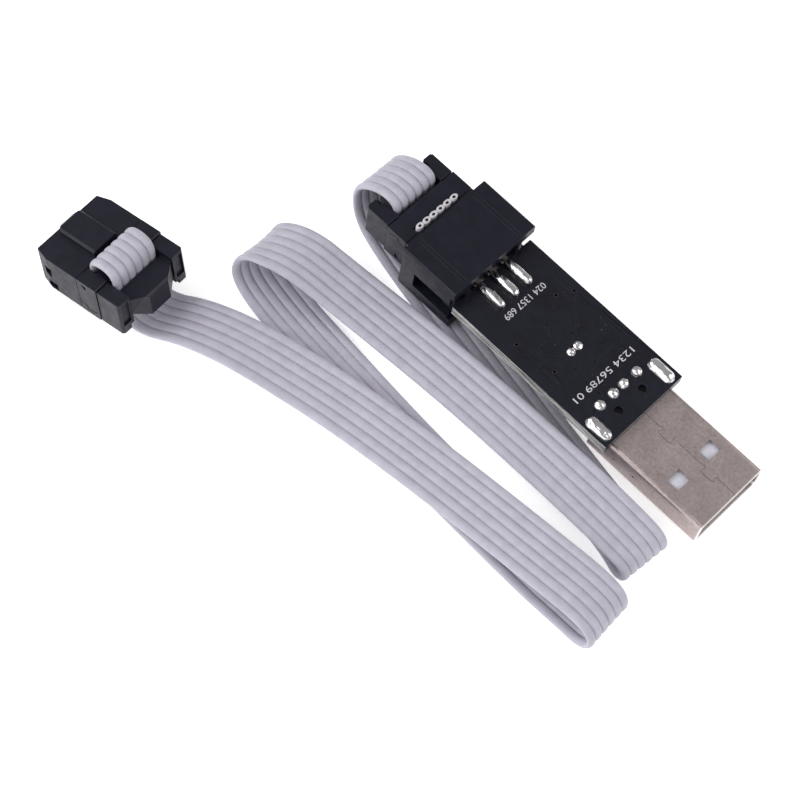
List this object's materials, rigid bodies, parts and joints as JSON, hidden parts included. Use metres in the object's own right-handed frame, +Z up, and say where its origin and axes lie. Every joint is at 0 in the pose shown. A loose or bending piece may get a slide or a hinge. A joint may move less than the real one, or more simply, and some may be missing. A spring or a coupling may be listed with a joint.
{
  "type": "usb microcontroller programmer",
  "caption": "Bare-board USB programmer lying solder side up, with a shrouded pin header and a flat ribbon lead that zigzags over the table between two ribbon sockets.",
  "frame": {"origin": "on the table, at the middle of the footprint of the board with its plug, header and plugged-in socket", "axes": "+X along the board towards the USB plug's tip, +Y across the board, +Z up from the table; the board lies with its solder side up"},
  "size_m": [0.0862, 0.0489, 0.0106],
  "materials": {
    "pcb_black": "black solder mask, semi-gloss",
    "nickel_shell": "nickel plate, satin",
    "white_insulator": "white moulding",
    "gold_contact": "gold flash",
    "solder": "bright tin solder",
    "black_plastic": "black moulding",
    "tinned_pin": "tinned brass",
    "black_epoxy": "moulded epoxy",
    "crystal_metal": "plain can",
    "red_lens": "tinted resin",
    "green_lens": "tinted resin",
    "resistor_black": "glazed chip",
    "capacitor_tan": "bare ceramic",
    "red_glass": "glass barrel",
    "grey_pvc": "soft grey PVC"
  },
  "bodies": {
    "board": {"pcb": "pcb_black", "usb_shell": "nickel_shell", "usb_insulator": "white_insulator", "usb_contacts": "gold_contact", "usb_solder": "solder", "header_housing": "black_plastic", "header_pins_upper": "tinned_pin", "header_pins_lower": "tinned_pin", "header_solder_upper": "solder", "header_solder_lower": "solder", "mcu_body": "black_epoxy", "mcu_leads": "tinned_pin", "crystal_can": "crystal_metal", "crystal_leads": "tinned_pin", "crystal_solder": "solder", "power_led": "red_lens", "status_led": "green_lens", "chip_resistors": "resistor_black", "chip_capacitors": "capacitor_tan", "chip_end_caps": "tinned_pin", "zener_barrels": "red_glass", "zener_caps": "tinned_pin"},
    "cable": {"near_socket_body": "black_plastic", "near_socket_cover": "black_plastic", "near_strain_relief": "black_plastic", "near_contacts": "gold_contact", "ribbon_cable": "grey_pvc", "far_socket_body": "black_plastic", "far_socket_cover": "black_plastic", "far_strain_relief": "black_plastic", "far_contacts": "gold_contact"}
  },
  "joints": [
    {"name": "socket_pull", "type": "slide", "parent": "board", "child": "cable", "axis": [-1, 0, 0], "range_m": [0, 0.007]}
  ]
}
